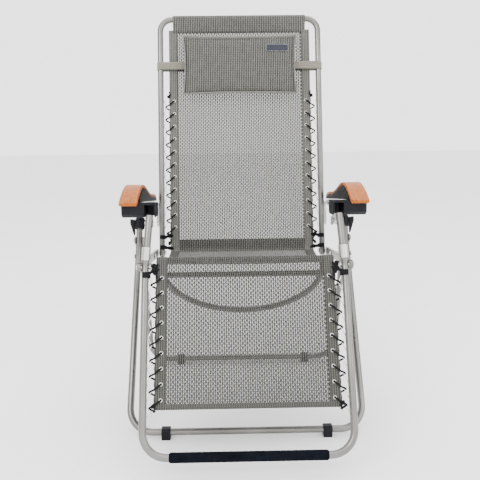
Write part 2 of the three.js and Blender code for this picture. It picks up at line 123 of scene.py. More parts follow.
def finished(obj, material, body, smooth=40):
    tidy = bmesh.new()
    tidy.from_mesh(obj.data)
    bmesh.ops.recalc_face_normals(tidy, faces=tidy.faces)
    tidy.to_mesh(obj.data)
    tidy.free()
    obj.data.materials.clear()
    obj.data.materials.append(material)
    obj.data.shade_smooth()
    if smooth < 180:
        obj.data.set_sharp_from_angle(angle=math.radians(smooth))
    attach(obj, body)
    return obj


def rounded(corners, radius, steps=12):
    """The polyline with each inner corner replaced by an arc."""
    points = [corners[0]]
    for i in range(1, len(corners) - 1):
        r = radius[i - 1] if isinstance(radius, (list, tuple)) else radius
        back = (corners[i - 1] - corners[i]).normalized()
        on = (corners[i + 1] - corners[i]).normalized()
        half = back.angle(on) / 2
        centre = corners[i] + (back + on).normalized() * (r / math.sin(half))
        start = corners[i] + back * (r / math.tan(half)) - centre
        end = corners[i] + on * (r / math.tan(half)) - centre
        turn = start.angle(end)
        for k in range(steps + 1):
            t = k / steps
            points.append(centre + start * (math.sin((1 - t) * turn) / math.sin(turn))
                          + end * (math.sin(t * turn) / math.sin(turn)))
    points.append(corners[-1])
    return points


def smooth_line(points, steps):
    """A Catmull-Rom curve through the points."""
    last = len(points) - 1
    out = []
    for i in range(last):
        a, b, c, d = (points[min(max(i + k, 0), last)] for k in (-1, 0, 1, 2))
        for k in range(steps):
            t = k / steps
            out.append(0.5 * ((2 * b) + (c - a) * t + (2 * a - 5 * b + 4 * c - d) * t * t
                              + (3 * b - a - 3 * c + d) * t ** 3))
    out.append(points[-1])
    return out


def swept(points, radius, sides=16, closed=False, verts=None, faces=None):
    """Vertices and faces of a round tube along the points; radius may be one per point."""
    verts = [] if verts is None else verts
    faces = [] if faces is None else faces
    n = len(points)
    base = len(verts)
    radii = radius if isinstance(radius, (list, tuple)) else [radius] * n

    def direction(i):
        a = points[(i - 1) % n] if closed else points[max(i - 1, 0)]
        b = points[(i + 1) % n] if closed else points[min(i + 1, n - 1)]
        return (b - a).normalized()

    tangent = direction(0)
    side = tangent.orthogonal().normalized()
    for i in range(n):
        turned = direction(i)
        side = (tangent.rotation_difference(turned) @ side)
        side = (side - turned * side.dot(turned)).normalized()
        tangent = turned
        other = tangent.cross(side)
        for k in range(sides):
            angle = 2 * math.pi * k / sides
            verts.append(points[i] + (side * math.cos(angle) + other * math.sin(angle)) * radii[i])
    for i in range(n if closed else n - 1):
        j = (i + 1) % n
        for k in range(sides):
            m = (k + 1) % sides
            faces.append((base + i * sides + k, base + i * sides + m,
                          base + j * sides + m, base + j * sides + k))
    if not closed:
        faces.append(tuple(base + k for k in reversed(range(sides))))
        faces.append(tuple(base + (n - 1) * sides + k for k in range(sides)))
    return verts, faces


def domed(points, radius, length=0.6, steps=5):
    """Points and radii of a line whose two ends are rounded off."""
    first = (points[0] - points[1]).normalized()
    last = (points[-1] - points[-2]).normalized()
    line, radii = list(points), [radius] * len(points)
    for k in range(1, steps + 1):
        a = (math.pi / 2) * k / (steps + 0.4)
        for end, direction in ((0, first), (-1, last)):
            place = points[end] + direction * (radius * length * math.sin(a))
            if end == 0:
                line.insert(0, place)
                radii.insert(0, radius * math.cos(a))
            else:
                line.append(place)
                radii.append(radius * math.cos(a))
    return line, radii


def ring(centre, axis, major, minor, tube_sides, flat, verts, faces, sides=24):
    """Adds a torus; flat scales its section along the axis."""
    a = axis.orthogonal().normalized()
    b = axis.cross(a).normalized()
    base = len(verts)
    for i in range(sides):
        u = 2 * math.pi * i / sides
        out = a * math.cos(u) + b * math.sin(u)
        for k in range(tube_sides):
            v = 2 * math.pi * k / tube_sides
            verts.append(centre + out * (major + minor * math.cos(v))
                         + axis * (minor * flat * math.sin(v)))
    for i in range(sides):
        j = (i + 1) % sides
        for k in range(tube_sides):
            m = (k + 1) % tube_sides
            faces.append((base + i * tube_sides + k, base + j * tube_sides + k,
                          base + j * tube_sides + m, base + i * tube_sides + m))


# -------------------- materials
class Finish:
    """A Principled material with a few short ways to add procedural detail."""

    def __init__(self, name, color, roughness, metallic=0.0, **more):
        self.material = bpy.data.materials.new(name)
        self.material.use_nodes = True
        self.tree = self.material.node_tree
        self.shader = self.tree.nodes["Principled BSDF"]
        self.set(**{"Base Color": (*color, 1), "Roughness": roughness, "Metallic": metallic})
        for key, value in more.items():
            self.set(**{key.replace("_", " "): value})
        self.place = self.node("ShaderNodeTexCoord").outputs["Object"]

    def set(self, **values):
        for key, value in values.items():
            self.shader.inputs[key].default_value = value

    def node(self, kind, **inputs):
        made = self.tree.nodes.new(kind)
        for key, value in inputs.items():
            made.inputs[key].default_value = value
        return made

    def link(self, out, into):
        self.tree.links.new(out, into)

    def math(self, operation, a, b=None, clamp=False):
        made = self.tree.nodes.new("ShaderNodeMath")
        made.operation = operation
        made.use_clamp = clamp
        for i, value in enumerate((a, b)):
            if value is None:
                continue
            if isinstance(value, (int, float)):
                made.inputs[i].default_value = value
            else:
                self.link(value, made.inputs[i])
        return made.outputs[0]

    def wave(self, angle):
        """The sine of an angle, brought to 0..1."""
        return self.math("ADD", self.math("MULTIPLY", self.math("SINE", angle), 0.5), 0.5)

    def stretched(self, scale, turn=0.0):
        """Object coordinates turned about X and scaled."""
        made = self.node("ShaderNodeMapping")
        made.inputs["Rotation"].default_value = (turn, 0, 0)
        made.inputs["Scale"].default_value = scale
        self.link(self.place, made.inputs["Vector"])
        return made.outputs["Vector"]

    def noise(self, scale, detail=3.0, vector=None, roughness=0.55):
        made = self.node("ShaderNodeTexNoise", Scale=scale, Detail=detail, Roughness=roughness)
        self.link(vector or self.place, made.inputs["Vector"])
        return made.outputs["Fac"]

    def ramp(self, fac, stops):
        """The base colour by a factor, from (position, colour) stops."""
        made = self.node("ShaderNodeValToRGB")
        elements = made.color_ramp.elements
        while len(elements) < len(stops):
            elements.new(0.5)
        for element, (place, color) in zip(elements, stops):
            element.position = place
            element.color = (*color, 1)
        self.link(fac, made.inputs["Fac"])
        self.link(made.outputs["Color"], self.shader.inputs["Base Color"])

    def roughness(self, fac, low, high):
        made = self.node("ShaderNodeMapRange", **{"To Min": low, "To Max": high})
        self.link(fac, made.inputs["Value"])
        self.link(made.outputs["Result"], self.shader.inputs["Roughness"])

    def bump(self, height, strength, distance):
        made = self.node("ShaderNodeBump", Strength=strength, Distance=distance)
        self.link(height, made.inputs["Height"])
        self.link(made.outputs["Normal"], self.shader.inputs["Normal"])


def tube_steel():
    f = Finish("tube_steel", (0.2, 0.196, 0.186), 0.36, 0.8)
    tone = f.noise(9, 4)
    f.ramp(tone, ((0.3, (0.150, 0.147, 0.138)), (0.7, (0.215, 0.211, 0.20))))
    f.roughness(f.noise(46, 5), 0.22, 0.36)
    f.bump(f.noise(1500, 2), 0.10, 0.0003)
    return f.material


def bright_steel():
    f = Finish("bright_steel", (0.6, 0.6, 0.58), 0.26, 1.0)
    brushed = f.noise(5, 3, f.stretched((3, 160, 160)))
    f.ramp(brushed, ((0.25, (0.5, 0.5, 0.48)), (0.75, (0.72, 0.71, 0.69))))
    f.roughness(f.noise(60, 4), 0.18, 0.36)
    f.bump(brushed, 0.05, 0.0003)
    return f.material


def black_plastic():
    f = Finish("black_plastic", (0.006, 0.006, 0.008), 0.46, Specular_IOR_Level=0.12)
    f.ramp(f.noise(14, 4), ((0.3, (0.004, 0.004, 0.006)), (0.75, (0.010, 0.010, 0.013))))
    f.roughness(f.noise(300, 3), 0.38, 0.56)
    f.bump(f.noise(1400, 2), 0.22, 0.0004)
    return f.material


def armrest_wood():
    f = Finish("armrest_wood", (0.42, 0.16, 0.05), 0.5, Specular_IOR_Level=0.1,
               Coat_Weight=0.03, Coat_Roughness=0.3)
    grain = f.noise(7, 6, f.stretched((60, 3.2, 22)), 0.62)
    fine = f.noise(24, 4, f.stretched((90, 2.0, 40)), 0.7)
    both = f.math("ADD", f.math("MULTIPLY", grain, 0.7), f.math("MULTIPLY", fine, 0.3))
    f.ramp(both, ((0.30, (0.12, 0.022, 0.003)), (0.45, (0.26, 0.064, 0.009)),
                  (0.56, (0.37, 0.108, 0.018)), (0.72, (0.46, 0.155, 0.030))))
    f.roughness(both, 0.30, 0.46)
    f.bump(both, 0.18, 0.0006)
    return f.material


WARP_PITCH = 5.85 * MM
WEFT_PITCH = 11.6 * MM


def sling_weave(name, run, gain=1.0, opening=0.0, depth=1.0):
    """Coated mesh: light warp bundles, with dark gaps between them that cross threads tie in a
    staggered row. opening is how much of a gap lets light through, and depth how strong the
    pattern is."""
    f = Finish(name, (0.2, 0.195, 0.18), 0.6, Specular_IOR_Level=0.3, Sheen_Weight=0.08,
               Sheen_Roughness=0.5)
    turn = math.atan2(run.y, run.z)
    split = f.node("ShaderNodeSeparateXYZ")
    f.link(f.stretched((1, 1, 1), turn), split.inputs[0])
    wander = f.math("MULTIPLY", f.math("SUBTRACT", f.noise(3.0, 2), 0.5), 0.8)
    u = f.math("ADD", f.math("MULTIPLY", split.outputs["X"], 2 * math.pi / WARP_PITCH), wander)
    warp = f.wave(u)
    v = f.math("MULTIPLY", split.outputs["Z"], 2 * math.pi / WEFT_PITCH)
    column = f.math("FLOOR", f.math("MULTIPLY", f.math("ADD", u, math.pi / 2), 1 / (2 * math.pi)))
    stagger = f.math("ADD", v, f.math("MULTIPLY", column, math.pi))
    tie = f.wave(stagger)
    twist = f.wave(f.math("MULTIPLY", v, 2.0))
    bundle = f.math("MULTIPLY", f.math("POWER", warp, 1.4), f.math(
        "ADD", 0.72, f.math("MULTIPLY", twist, 0.28)))
    bridge = f.math("MULTIPLY", f.math("SUBTRACT", 1.0, warp), f.math("POWER", tie, 1.5))
    tone = f.math("ADD", f.math("MULTIPLY", bundle, 0.86), f.math("MULTIPLY", bridge, 0.46))
    tone = f.math("ADD", tone, f.math("MULTIPLY", f.math("SUBTRACT", f.noise(70, 3), 0.5), 0.22))
    tone = f.math("ADD", f.math("MULTIPLY", f.math("SUBTRACT", tone, 0.5), depth), 0.5)
    dark, mid, light = (0.006, 0.0065, 0.005), (0.060, 0.060, 0.050), (0.33, 0.325, 0.29)
    f.ramp(tone, ((0.12, tuple(gain * c for c in dark)), (0.48, tuple(gain * c for c in mid)),
                  (0.92, tuple(gain * c for c in light))))
    f.roughness(tie, 0.5, 0.72)
    f.bump(f.math("ADD", tone, f.math("MULTIPLY", f.noise(900, 2), 0.2)), 0.55, 0.0007)
    if opening:
        gap = f.math("MULTIPLY", f.math("SUBTRACT", 1.0, warp), f.math("SUBTRACT", 1.0, tie))
        f.link(f.math("SUBTRACT", 1.0, f.math("MULTIPLY", gap, opening), clamp=True),
               f.shader.inputs["Alpha"])
    return f.material


def plain_weave(name, dark, light, pitch, run=Vector((0, 0, 1))):
    f = Finish(name, light, 0.85, Sheen_Weight=0.3, Sheen_Roughness=0.45)
    split = f.node("ShaderNodeSeparateXYZ")
    f.link(f.stretched((1, 1, 1), math.atan2(run.y, run.z)), split.inputs[0])
    a = f.math("SINE", f.math("MULTIPLY", split.outputs["X"], 2 * math.pi / pitch))
    b = f.math("SINE", f.math("MULTIPLY", split.outputs["Z"], 2 * math.pi / pitch))
    cross = f.math("ADD", f.math("MULTIPLY", f.math("MULTIPLY", a, b), 0.5), 0.5)
    slubs = f.noise(180, 4)
    cloth = f.math("ADD", f.math("MULTIPLY", cross, 0.55), f.math("MULTIPLY", slubs, 0.45))
    patch = f.math("MULTIPLY", f.math("SUBTRACT", f.noise(11, 3), 0.5), 0.4)
    f.ramp(f.math("ADD", cloth, patch), ((0.2, dark), (0.8, light)))
    f.roughness(slubs, 0.72, 0.95)
    f.bump(cloth, 0.6, 0.0006)
    return f.material


def braided_cord():
    f = Finish("elastic_cord", (0.004, 0.004, 0.005), 0.7, Specular_IOR_Level=0.15)
    braid = f.node("ShaderNodeTexVoronoi", Scale=900)
    f.link(f.place, braid.inputs["Vector"])
    f.ramp(braid.outputs["Distance"], ((0.1, (0.008, 0.008, 0.009)), (0.7, (0.002, 0.002, 0.003))))
    f.roughness(f.noise(500, 2), 0.6, 0.8)
    f.bump(braid.outputs["Distance"], 0.5, 0.0005)
    return f.material


def foam_cover():
    f = Finish("foot_bar_cover", (0.004, 0.005, 0.009), 0.8, Specular_IOR_Level=0.04)
    f.ramp(f.noise(40, 4), ((0.3, (0.001, 0.0013, 0.003)), (0.75, (0.004, 0.005, 0.009))))
    f.roughness(f.noise(260, 3), 0.6, 0.85)
    f.bump(f.noise(700, 4), 0.4, 0.0006)
    return f.material


STEEL = tube_steel()
BRIGHT = bright_steel()
PLASTIC = black_plastic()
WOOD = armrest_wood()
CORD = braided_cord()
FOAM = foam_cover()
BACK_MESH = sling_weave("back_mesh", BACK_UP, gain=0.5, opening=1.05)
LEG_MESH = sling_weave("leg_mesh", -LEG_DOWN, gain=0.28, opening=1.0)
SEAT_MESH = sling_weave("seat_mesh", RAIL, gain=0.5, opening=1.0)
SLEEVE_MESH = sling_weave("sleeve_mesh", BACK_UP, gain=0.66, depth=1.2)
BACK_HEM = sling_weave("back_hem_mesh", BACK_UP, gain=1.05, depth=0.45)
LEG_HEM = sling_weave("leg_hem_mesh", -LEG_DOWN, gain=0.5, depth=0.55)
PILLOW_CLOTH = sling_weave("pillow_mesh", BACK_UP, gain=0.6, depth=1.3)
PIPING_CLOTH = plain_weave("piping_cloth", (0.05, 0.05, 0.044), (0.17, 0.165, 0.145), 2.0 * MM,
                           BACK_UP)
WEBBING = plain_weave("strap_webbing", (0.075, 0.07, 0.055), (0.21, 0.195, 0.155), 2.2 * MM,
                      BACK_UP)
THREAD = plain_weave("stitch_thread", (0.03, 0.028, 0.025), (0.08, 0.075, 0.068), 0.8 * MM)
BRIGHT_THREAD = plain_weave("label_thread", (0.3, 0.3, 0.3), (0.6, 0.6, 0.6), 0.8 * MM)
LABEL = plain_weave("label_cloth", (0.003, 0.004, 0.010), (0.012, 0.015, 0.030), 0.9 * MM,
                    BACK_UP)


# -------------------- tube frames
BACK_CORNER_R = 40 * MM
LEG_CORNER_R = 60 * MM
KNEE_CORNER_R = 60 * MM
GROUND_CORNER_R = 65 * MM
END_INSET = 14 * MM          # the back tube goes on this far below its pivot
BOW_GAP = 0.6 * MM           # between the back tube's end and the bow's
BOW_START = 50 * MM
BOW_DROP = 138 * MM
GROUND_BAR_Z = 18 * MM
CAP_TO_TUBE_END = 10.5 * MM


def frame_tube(name, points, replaced, body, radius=TUBE_R):
    dome = 0.35
    inset = radius * dome
    points = list(points)
    points[0] = points[0] + (points[1] - points[0]).normalized() * inset
    points[-1] = points[-1] + (points[-2] - points[-1]).normalized() * inset
    line, radii = domed(points, radius, dome)
    verts, faces = swept(line, radii, 24)
    obj = piece(name, verts, faces, STEEL, body, smooth=50)
    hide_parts(replaced)
    return obj


def ground_frame(name, replaced, body, top, foot):
    corners = [top + X * -GROUND_X, foot + X * -GROUND_X, foot + X * GROUND_X, top + X * GROUND_X]
    return frame_tube(name, rounded(corners, GROUND_CORNER_R, 16), replaced, body)


FRONT_FOOT = mid_plane("front_foot_left")
REAR_FOOT = mid_plane("rear_foot_left")
FRONT_FOOT.z = REAR_FOOT.z = GROUND_BAR_Z
CAP_CENTRE = mid_plane("leg_cap_left")
FRONT_UP = (CAP_CENTRE - FRONT_FOOT).normalized()
FRONT_TOP = CAP_CENTRE + FRONT_UP * CAP_TO_TUBE_END
REAR_TOP = Vector((0, 158 * MM, 475 * MM))       # where the rear tube ends, by the hub

ground_frame("front_ground_tube", "front_leg_frame", "front_stand", FRONT_TOP, FRONT_FOOT)
ground_frame("rear_ground_tube", "rear_leg_frame", "rear_stand", REAR_TOP, REAR_FOOT)

frame_tube("back_tube", rounded([
    on_back(-FRAME_X, -END_INSET), on_back(-FRAME_X, BACK_LENGTH),
    on_back(FRAME_X, BACK_LENGTH), on_back(FRAME_X, -END_INSET)], BACK_CORNER_R, 14),
    "back_frame", "back")

bow = [on_back(-FRAME_X, -END_INSET - BOW_GAP)]
for i in range(41):
    a = math.pi * i / 40
    bow.append(on_back(-FRAME_X * math.cos(a), -BOW_START - BOW_DROP * math.sin(a)))
bow.append(on_back(FRAME_X, -END_INSET - BOW_GAP))
frame_tube("back_lower_bow", bow, "back_bow", "back")

ARM_PIVOT_UP = (ARM_PIVOT - BACK_PIVOT).length
# The leg tube goes up from the knee by 20 mm less than the arm's pivot is up the back. Its end
# lies 12 mm inside the node's box, because the tube leans.
LEG_TOP_UP = ARM_PIVOT_UP - 20 * MM
LEG_TOP_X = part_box("leg_frame")[1][0] - TUBE_R - 12 * MM


def on_upright(side, s, n=0.0):
    """A point on the leg tube above the knee, which leans inwards."""
    lean = (LEG_TOP_X - FRAME_X) * s / LEG_TOP_UP
    return Vector((side * (FRAME_X + lean), 0, 0)) + KNEE_PIVOT + BACK_UP * s + BACK_FRONT * n


frame_tube("leg_tube", rounded([
    on_upright(-1, LEG_TOP_UP), on_leg(-FRAME_X, 0), on_leg(-FRAME_X, LEG_LENGTH),
    on_leg(FRAME_X, LEG_LENGTH), on_leg(FRAME_X, 0), on_upright(1, LEG_TOP_UP)],
    [KNEE_CORNER_R, LEG_CORNER_R, LEG_CORNER_R, KNEE_CORNER_R], 14), "leg_frame", "leg_rest")

bar_low, bar_high = (Vector(c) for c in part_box("seat_crossbar"))
BAR_R = 8 * MM
BAR_BEND_OUT, BAR_BEND_IN = 262 * MM, 240 * MM   # the bar steps down between these
bar_y = (bar_low.y + bar_high.y) / 2
bar_top, bar_bottom = bar_high.z - BAR_R, bar_low.z + BAR_R
frame_tube("seat_cross_tube", rounded([Vector((x, bar_y, z)) for x, z in (
    (bar_low.x, bar_top), (-BAR_BEND_OUT, bar_top), (-BAR_BEND_IN, bar_bottom),
    (BAR_BEND_IN, bar_bottom), (BAR_BEND_OUT, bar_top), (bar_high.x, bar_top))], 12 * MM, 8),
    "seat_crossbar", "seat", BAR_R)


# -------------------- fittings
def softened(node, width, material, body, angle=35):
    """A copy of the node's solid with rounded edges, in its place."""
    mesh = frame["nodes"][node].data.copy()
    obj = bpy.data.objects.new(node + "_shell", mesh)
    bpy.context.collection.objects.link(obj)
    work = bmesh.new()
    work.from_mesh(mesh)
    bmesh.ops.remove_doubles(work, verts=work.verts, dist=0.02 * MM)
    bmesh.ops.dissolve_limit(work, angle_limit=math.radians(1), verts=work.verts, edges=work.edges)
    work.to_mesh(mesh)
    work.free()
    bevel = obj.modifiers.new("edges", "BEVEL")
    bevel.width = width
    bevel.segments = 3
    bevel.limit_method = "ANGLE"
    bevel.angle_limit = math.radians(angle)
    finished(obj, material, body, smooth=34)
    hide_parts(node)


# Node, width of the rounded edge in mm, material, slot and body.
FITTINGS = (
    ("armrest_base", 1.5, PLASTIC, "black_plastic", "armrests"),
    ("lock_housing", 2.5, PLASTIC, "black_plastic", "armrests"),
    ("lock_lever", 2.2, PLASTIC, "black_plastic", "lever_{}"),
    ("front_foot", 2.0, PLASTIC, "black_plastic", "front_stand"),
    ("rear_foot", 2.0, PLASTIC, "black_plastic", "rear_stand"),
    ("leg_cap", 2.5, PLASTIC, "black_plastic", "front_stand"),
    ("hub_bracket", 0.6, STEEL, "frame_steel", "rear_stand"),
    ("armrest_bracket", 0.7, BRIGHT, "bright_steel", "armrests"),
    ("seat_rail", 1.2, STEEL, "frame_steel", "seat"),
    ("hub_bolt", 1.2, BRIGHT, "bright_steel", "front_stand"),
    ("seat_pivot_bolt", 1.2, BRIGHT, "bright_steel", "front_stand"),
    ("back_pivot_bolt", 1.2, BRIGHT, "bright_steel", "back_pivot"),
    ("knee_pivot_bolt", 1.2, BRIGHT, "bright_steel", "knee_pivot"),
    ("arm_pivot_bolt", 1.2, BRIGHT, "bright_steel", "arm_pivot"),
    ("lock_disc", 1.0, BRIGHT, "bright_steel", "front_stand"),
    ("arm_stop_plate", 0.8, BRIGHT, "bright_steel", "arm_pivot"),
    ("knee_sleeve", 0.5, BRIGHT, "bright_steel", "leg_rest"))
for name, _ in SIDES:
    softened(f"armrest_pad_{name}", 1.2 * MM, WOOD, "armrests", angle=30)
    for node, edge, material, slot, body in FITTINGS:
        softened(f"{node}_{name}", edge * MM, material, body.format(name))

# Ribs round the cap of each front leg.
for name, side in SIDES:
    def on_cap(s, angle, r):
        out = (X * math.cos(angle) + FRONT_UP.cross(X) * math.sin(angle)) * r
        return Vector((side * GROUND_X, 0, 0)) + FRONT_TOP + FRONT_UP * s + out
    verts, faces = [], []
    for k in range(5):
        a = math.radians(-160 + 35 * k)
        line, radii = domed([on_cap(-26 * MM, a, 14.6 * MM), on_cap(0, a, 14.6 * MM)], 1.5 * MM)
        swept(line, radii, 8, verts=verts, faces=faces)
    piece(f"cap_ribs_{name}", verts, faces, PLASTIC, "front_stand")


# -------------------- sling
SLING_HALF = 233 * MM
HEM_INNER = 203 * MM
LACE_X = 216 * MM
BACK_EYELETS = (82 * MM, 41.5 * MM, 11)
LEG_EYELETS = (29 * MM, 38.3 * MM, 9)
CLOTH_T = 1.5 * MM
BACK_SEAM = 733 * MM
BACK_SLACK, LEG_SLACK, SEAT_SLACK = 7 * MM, 4 * MM, 4 * MM
LEG_SPAN = 360 * MM          # the leg panel's slack runs out here


def edge_half(s, eyelets):
    """The edge is drawn out at each eyelet and falls in between them."""
    first, pitch, count = eyelets
    if s < first - pitch / 2 or s > first + pitch * (count - 0.5):
        return SLING_HALF - 2.0 * MM
    return SLING_HALF - 1.4 * MM * (1 - math.cos(2 * math.pi * (s - first) / pitch))


def back_n(x, s):
    """How far the back panel stands in front of its plane: slack in the middle, with ripples."""
    middle_ = 1 - (x / SLING_HALF) ** 2
    sag = -BACK_SLACK * middle_ * math.sin(math.pi * min(1, s / BACK_SEAM))
    return sag + 0.8 * MM * math.sin(5.2 * s / 0.1 + x * 9) * middle_


def leg_n(x, s):
    middle_ = 1 - (x / SLING_HALF) ** 2
    return -LEG_SLACK * middle_ * math.sin(math.pi * min(1, s / LEG_SPAN))


def quads(rows, cols, base=0):
    """The faces of a grid of rows by cols cells, whose first vertex is base."""
    faces = []
    for i in range(rows):
        for k in range(cols):
            a = base + i * (cols + 1) + k
            faces.append((a, a + 1, a + cols + 2, a + cols + 1))
    return faces


def grid(place, rows, half_at, cols=56):
    """A sheet through the rows, each from -half to half across."""
    verts = []
    for s in rows:
        half = half_at(s)
        verts += [place(half * (2 * k / cols - 1), s) for k in range(cols + 1)]
    return verts, quads(len(rows) - 1, cols)


def thick(obj, thickness):
    solid = obj.modifiers.new("cloth thickness", "SOLIDIFY")
    solid.thickness = thickness
    solid.offset = 0
    return obj


def steps(start, end, count):
    return [start + (end - start) * i / count for i in range(count + 1)]


CURL_R = 15 * MM


def back_place(x, s):
    """Up the back from the crease; at its foot the cloth curls forward under the seat's edge."""
    if s >= CURL_R:
        return on_back(x, s, back_n(x, s))
    turn = (CURL_R - s) / CURL_R
    return on_back(x, CURL_R - CURL_R * math.sin(turn), CURL_R * (1 - math.cos(turn)))


back_rows = steps(-4 * MM, CURL_R, 6)[:-1] + steps(CURL_R, BACK_SEAM, 150)
verts, faces = grid(back_place, back_rows, lambda s: edge_half(s, BACK_EYELETS))
back_panel = thick(piece("back_panel", verts, faces, BACK_MESH, "back"), CLOTH_T)
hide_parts("back_sling")

LEG_END = 358 * MM
KNEE_R = 14 * MM
KNEE_ABOVE = 27 * MM         # the cloth's corner lies this far above the knee, along the leg rest
SEAT_SAG = 26 * MM
SEAT_REAR = 9 * MM
corner = on_leg(0, -KNEE_ABOVE) - BACK_PIVOT
CORNER_S, CORNER_RISE = corner.dot(RAIL), corner.dot(RAIL_UP)
SEAT_SLOPE = math.atan((CORNER_RISE + SEAT_SAG * math.pi) / (CORNER_S - SEAT_REAR))
SEAT_AHEAD = RAIL * math.cos(SEAT_SLOPE) + RAIL_UP * math.sin(SEAT_SLOPE)
KNEE_TURN = LEG_DOWN.angle(SEAT_AHEAD)
KNEE_REACH = KNEE_R * math.tan(KNEE_TURN / 2)
KNEE_START = KNEE_REACH - KNEE_ABOVE


def leg_place(x, s):
    """Down the leg rest; above the knee line the cloth bends back towards the seat."""
    if s >= KNEE_START:
        return on_leg(x, s, leg_n(x, s))
    a = (KNEE_START - s) / KNEE_R
    centre = on_leg(x, KNEE_START, leg_n(x, KNEE_START) - KNEE_R)
    return centre + (LEG_FRONT * math.cos(a) - LEG_DOWN * math.sin(a)) * KNEE_R


leg_rows = (steps(KNEE_START - KNEE_R * KNEE_TURN, KNEE_START, 8)[:-1]
            + steps(KNEE_START, LEG_END, 90))
verts, faces = grid(leg_place, leg_rows, lambda s: edge_half(s, LEG_EYELETS))
leg_panel = thick(piece("leg_panel", verts, faces, LEG_MESH, "leg_rest"), CLOTH_T)
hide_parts("leg_sling")

SEAT_FRONT = CORNER_S - KNEE_REACH * math.cos(SEAT_SLOPE)
FRONT_RISE = CORNER_RISE - KNEE_REACH * math.sin(SEAT_SLOPE)


def seat_place(x, t):
    """Forward along the seat, t from 0 at the crease to 1 at the knee bend."""
    s = SEAT_REAR + t * (SEAT_FRONT - SEAT_REAR)
    rise = 2 * MM * (1 - t) + FRONT_RISE * t - SEAT_SAG * math.sin(math.pi * t)
    rise -= SEAT_SLACK * math.sin(math.pi * t) * (1 - (x / SLING_HALF) ** 2)
    return on_seat(x, s, rise)


def seat_piece(name, start, end):
    verts, faces = grid(seat_place, steps(start, end, 45), lambda t: SLING_HALF - 2 * MM)
    return thick(piece(name, verts, faces, SEAT_MESH, "seat"), CLOTH_T)


seat_rear = seat_piece("seat_panel_rear", 0, 0.5)
seat_front = seat_piece("seat_panel_front", 0.5, 1)
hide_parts("seat_rear_band", "seat_sling")
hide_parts("seat_front_band")


HEM_LIFT = 1.5 * MM
HEM_T = 1.3 * MM
HEM_COLS = 5


def strip(name, place, rows, outer_at, body, material):
    """A hem: a second layer of cloth along each side of a panel, in front and behind."""
    verts, faces = [], []
    for side in (-1, 1):
        for face in (-1, 1):
            faces += quads(len(rows) - 1, HEM_COLS, len(verts))
            for s in rows:
                outer = outer_at(s) + 0.7 * MM
                for k in range(HEM_COLS + 1):
                    x = side * (HEM_INNER + (outer - HEM_INNER) * (k / HEM_COLS))
                    lift = HEM_LIFT * (0.35 if k in (0, HEM_COLS) else 1.0)
                    verts.append(place(x, s) + normal_of(place, x, s) * (face * lift))
    return thick(piece(name, verts, faces, material, body), HEM_T)


def normal_of(place, x, s, step=0.5 * MM):
    a = place(x + step, s) - place(x - step, s)
    b = place(x, s + step) - place(x, s - step)
    return a.cross(b).normalized()


back_hem = strip("back_side_hems", back_place, back_rows,
                 lambda s: edge_half(s, BACK_EYELETS), "back", BACK_HEM)
leg_hem = strip("leg_side_hems", leg_place, leg_rows,
                lambda s: edge_half(s, LEG_EYELETS), "leg_rest", LEG_HEM)
seat_rear_hem, seat_front_hem = (
    strip(f"seat_{end}_hems", seat_place, steps(*span, 36),
          lambda t: SLING_HALF - 2 * MM, "seat", LEG_HEM)
    for end, span in (("rear", (0.004, 0.5)), ("front", (0.5, 0.996))))

# A solid second layer of cloth behind the foot of the back panel. It stands for a doubled seam,
# and it is also painted shade: it hides the light seen through the mesh, so the band above the
# crease comes out darker.
CREASE_TOP = 42 * MM
verts, faces = grid(lambda x, s: back_place(x, s) - BACK_FRONT * (1.7 * MM) * min(1, s / (5 * MM)),
                    steps(0, CREASE_TOP, 10), lambda s: SLING_HALF - 5 * MM)
crease_layer_and_shade = thick(piece("crease_layer_and_shade", verts, faces, BACK_HEM, "back"), 1.2 * MM)

# Cross hem at the foot end of the leg panel.
verts, faces = [], []
hem_rows, cols = steps(LEG_END - 13 * MM, LEG_END + 0.5 * MM, 5), 60
for face in (-1, 1):
    faces += quads(len(hem_rows) - 1, cols, len(verts))
    for i, s in enumerate(hem_rows):
        lift = 2.3 * MM * (0.4 if i in (0, 5) else 1.0)
        half = edge_half(s, LEG_EYELETS)
        verts += [leg_place(half * (2 * k / cols - 1), s) + LEG_FRONT * (face * lift)
                  for k in range(cols + 1)]
foot_hem = thick(piece("leg_foot_hem", verts, faces, LEG_HEM, "leg_rest"), HEM_T)

# The sleeve round the top bar, sewn down at the seam.
SLEEVE_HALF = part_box("back_top_hem")[1][0]
SLEEVE_R = TUBE_R + 2.0 * MM
section = [(BACK_SEAM - 9 * MM, 1.6 * MM), (BACK_SEAM, 1.4 * MM), (BACK_SEAM + 12 * MM, 4.6 * MM)]
for i in range(17):
    a = math.radians(-12 + 204 * i / 16)
    section.append((BACK_LENGTH + SLEEVE_R * math.sin(a), SLEEVE_R * math.cos(a)))
section += [(s, -n) for s, n in section[2::-1]]
verts = []
for x in steps(-SLEEVE_HALF, SLEEVE_HALF, 60):
    pull = 1 + 0.004 * math.sin(x * 150) + 0.003 * math.sin(x * 61 + 1)
    verts += [on_back(x, s, n * pull) for s, n in section]
top_sleeve = thick(piece("top_bar_sleeve", verts, quads(60, len(section) - 1), SLEEVE_MESH, "back",
                         smooth=60), HEM_T)
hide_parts("back_top_hem")


# -------------------- stitching
STITCH_PITCH, STITCH_LENGTH = 5.5 * MM, 3.4 * MM
STITCH_R, STITCH_DROP = 0.42 * MM, 0.15 * MM
SKIN = HEM_LIFT + 0.6 * MM


def stitches(name, lines, body):
    """Short threads along lines. A line is its place and its normal, each a function of the
    distance along it, and the distances where it starts and ends."""
    verts, faces = [], []
    for place, normal, start, end in lines:
        s = start
        while s + STITCH_LENGTH < end:
            a, b = place(s), place(s + STITCH_LENGTH)
            out = normal(s)
            mid = (a + b) / 2 + out * (STITCH_R * 1.1)
            line = smooth_line([a - out * STITCH_DROP, mid, b - out * STITCH_DROP], 3)
            swept(line, STITCH_R, 6, verts=verts, faces=faces)
            s += STITCH_PITCH
    return piece(name, verts, faces, THREAD, body)


